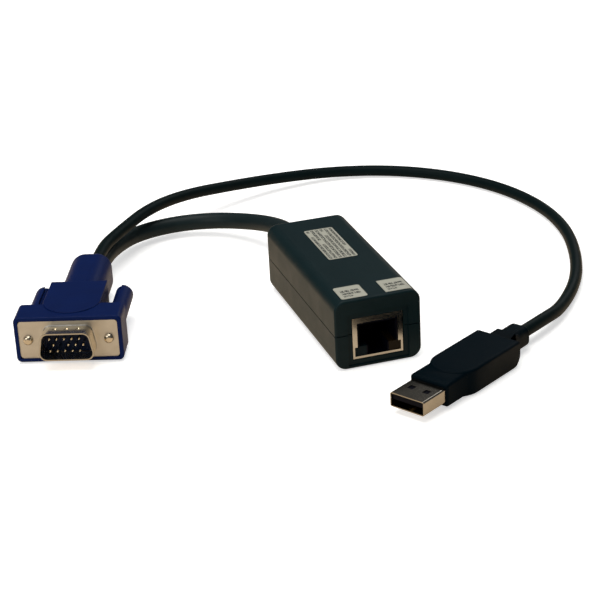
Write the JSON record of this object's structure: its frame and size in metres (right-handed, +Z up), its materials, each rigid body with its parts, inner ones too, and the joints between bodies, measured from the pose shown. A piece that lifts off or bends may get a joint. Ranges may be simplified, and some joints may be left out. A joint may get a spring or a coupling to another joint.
{
  "type": "kvm dongle",
  "caption": "Adapter box with a network socket, a thick lead to a screw-down video plug and a thin lead from that plug to a rectangular data plug.",
  "frame": {"origin": "under the middle of the adapter box, on the surface that everything lies on", "axes": "+Y from the socket to the back of the box, +Z up, +X to the right of somebody who looks into the socket"},
  "size_m": [0.2012, 0.2014, 0.0225],
  "materials": {
    "housing": "satin moulded plastic, dark slate",
    "steel": "turned steel",
    "board": "green solder mask",
    "chip": "black moulded package",
    "nickel": "nickel plated sheet",
    "white_plastic": "off-white moulded insulator",
    "can": "drawn can",
    "black_plastic": "black moulded insulator",
    "green_lamp": "tinted light pipe, unlit",
    "amber_lamp": "tinted light pipe, unlit",
    "gold": "gold flash over copper alloy",
    "label": "matt printed label, cream",
    "soft_black": "soft moulded strain relief",
    "blue_plastic": "satin moulded plastic, dark blue",
    "blue_insert": "dark blue insulator",
    "grip_plastic": "satin soft-touch moulding, near black",
    "lead_jacket": "extruded cable jacket, near black"
  },
  "bodies": {
    "dongle": {"lower_housing": "housing", "upper_housing": "housing", "housing_screw_front": "steel", "housing_screw_rear": "steel", "circuit_board": "board", "controller_chip": "chip", "memory_chip": "chip", "crystal": "nickel", "wire_header": "white_plastic", "capacitor_front": "can", "capacitor_rear": "can", "jack_shield": "nickel", "jack_insert": "black_plastic", "lamp_left": "green_lamp", "lamp_right": "amber_lamp", "jack_contacts": "gold", "roof_label": "label", "tag_left": "label", "tag_right": "label", "cable_relief": "soft_black", "video_hood": "blue_plastic", "video_shell": "nickel", "video_insert": "blue_insert", "video_pins": "gold", "plug_shell": "nickel", "plug_tongue": "black_plastic", "plug_strips": "gold", "plug_grip": "grip_plastic", "video_lead": "lead_jacket", "plug_lead": "lead_jacket"},
    "left_thumbscrew": {"jackscrew_left": "steel", "jackscrew_knob_left": "blue_plastic"},
    "right_thumbscrew": {"jackscrew_right": "steel", "jackscrew_knob_right": "blue_plastic"}
  },
  "joints": [
    {"name": "left_screw_turn", "type": "hinge", "parent": "dongle", "child": "left_thumbscrew", "pos_m": [-0.09044, 0.03104, 0.0078], "axis": [-0.3453, -0.9385, 0], "continuous": true},
    {"name": "right_screw_turn", "type": "hinge", "parent": "dongle", "child": "right_thumbscrew", "pos_m": [-0.06698, 0.02241, 0.0078], "axis": [-0.3453, -0.9385, 0], "continuous": true}
  ]
}
